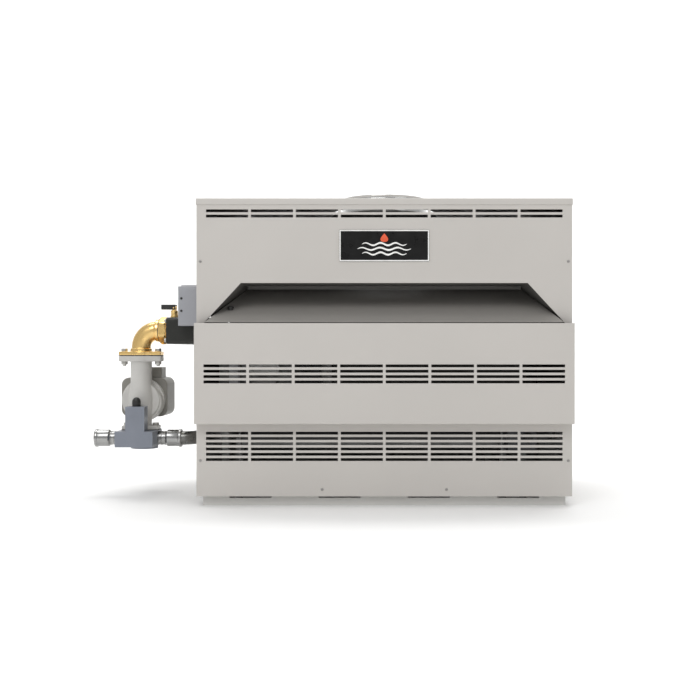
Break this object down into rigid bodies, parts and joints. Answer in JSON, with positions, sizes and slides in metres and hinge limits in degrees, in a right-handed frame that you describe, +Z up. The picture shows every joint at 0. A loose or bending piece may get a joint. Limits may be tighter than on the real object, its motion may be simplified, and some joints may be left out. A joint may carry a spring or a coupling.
{
  "type": "gas pool heater",
  "caption": "Floor-standing gas pool heater: louvred steel cabinet with a lift-off door, draft relief, vent collar, finned-tube exchanger, burners, inline pump and bypass valve.",
  "frame": {"origin": "middle of the base pan's underside", "axes": "+Z up, the front of the cabinet faces -Y, the pump and its pipes are on the -X side"},
  "size_m": [1.3835, 0.7027, 0.8922],
  "materials": {
    "painted_steel": "satin powder coat",
    "base_steel": "satin powder coat",
    "galvanized_steel": "galvanized",
    "bright_bracket": "satin",
    "zinc_steel": "zinc plated",
    "black_iron": "black paint on casting",
    "gas_black": "black pipe",
    "brass": "cast and machined",
    "copper": "drawn copper",
    "pump_casting": "grey paint on casting",
    "motor_paint": "grey paint",
    "motor_core": "laminated steel",
    "valve_casting": "blue-grey paint",
    "plug_steel": "machined",
    "stainless": "drawn stainless",
    "black_plastic": "moulded",
    "light_plastic": "moulded",
    "transformer_steel": "laminated core",
    "valve_grey": "die cast",
    "box_grey": "satin",
    "badge": "gloss",
    "gasket": "sheet",
    "refractory": "ceramic fibre board",
    "ceramic": "glazed"
  },
  "bodies": {
    "cabinet": {"badge_plate": "badge", "base_pan": "base_steel", "brass_elbow": "brass", "brass_union": "brass", "burner_tray": "galvanized_steel", "burners": "stainless", "bypass_manifold": "valve_casting", "chamber_frame": "galvanized_steel", "control_bracket": "bright_bracket", "control_plate": "galvanized_steel", "finned_tubes": "copper", "flange_bolts": "zinc_steel", "flue_baffles": "galvanized_steel", "flue_collector": "galvanized_steel", "gas_inlet": "gas_black", "gas_manifold": "gas_black", "gas_pipe": "gas_black", "gas_valve": "valve_grey", "gaskets": "gasket", "header_bolts": "zinc_steel", "igniter": "ceramic", "ignition_module": "light_plastic", "left_jacket": "painted_steel", "lower_front_panel": "painted_steel", "manifold_brackets": "galvanized_steel", "motor_housing": "motor_paint", "motor_plate": "pump_casting", "motor_stator": "motor_core", "orifices": "brass", "panel_screws": "zinc_steel", "press_couplings": "stainless", "pump_casing": "pump_casting", "rear_jacket": "painted_steel", "refractory_panels": "refractory", "relief_baffle": "painted_steel", "relief_valve": "brass", "relief_walls": "painted_steel", "return_header": "black_iron", "return_tube": "stainless", "right_jacket": "painted_steel", "spill_switch": "black_plastic", "temperature_controller": "black_plastic", "terminal_box": "motor_paint", "top_lid": "painted_steel", "transformer": "transformer_steel", "tube_sheets": "galvanized_steel", "upper_front_panel": "painted_steel", "vent_collar": "galvanized_steel", "water_header": "black_iron", "wiring_box": "box_grey", "wiring_bracket": "bright_bracket", "wiring_cover": "box_grey"},
    "middle_door": {"middle_door": "painted_steel"},
    "pump_rotor": {"pump_rotor": "motor_core"},
    "relief_lever": {"relief_lever": "black_plastic"},
    "bypass_valve": {"bypass_plug": "plug_steel", "bypass_knob": "black_plastic"},
    "gas_valve_knob": {"gas_valve_knob": "black_plastic"},
    "temperature_knob": {"temperature_knob": "black_plastic"},
    "power_rocker": {"power_rocker": "black_plastic"}
  },
  "joints": [
    {"name": "door_slide", "type": "slide", "parent": "cabinet", "child": "middle_door", "axis": [0, -1, 0], "range_m": [0, 0.35]},
    {"name": "pump_spin", "type": "hinge", "parent": "cabinet", "child": "pump_rotor", "pos_m": [-0.7254, -0.1, 0.282], "axis": [0, 1, 0], "continuous": true},
    {"name": "relief_lift", "type": "hinge", "parent": "cabinet", "child": "relief_lever", "pos_m": [-0.606, -0.205, 0.5538], "axis": [0, 1, 0], "range_deg": [0, 75], "stiffness_Nm_per_rad": 0.05, "springref_deg": -17.19},
    {"name": "bypass_turn", "type": "hinge", "parent": "cabinet", "child": "bypass_valve", "pos_m": [-0.7254, -0.162, 0.28], "axis": [0, 0, 1], "range_deg": [-45, 45]},
    {"name": "gas_valve_turn", "type": "hinge", "parent": "cabinet", "child": "gas_valve_knob", "pos_m": [0.401, -0.302, 0.1875], "axis": [0, -1, 0], "range_deg": [0, 90]},
    {"name": "temperature_turn", "type": "hinge", "parent": "cabinet", "child": "temperature_knob", "pos_m": [-0.22, -0.2815, 0.388], "axis": [0, -1, 0], "range_deg": [-135, 135]},
    {"name": "rocker_tip", "type": "hinge", "parent": "cabinet", "child": "power_rocker", "pos_m": [-0.22, -0.2675, 0.317], "axis": [1, 0, 0], "range_deg": [0, 16]}
  ]
}
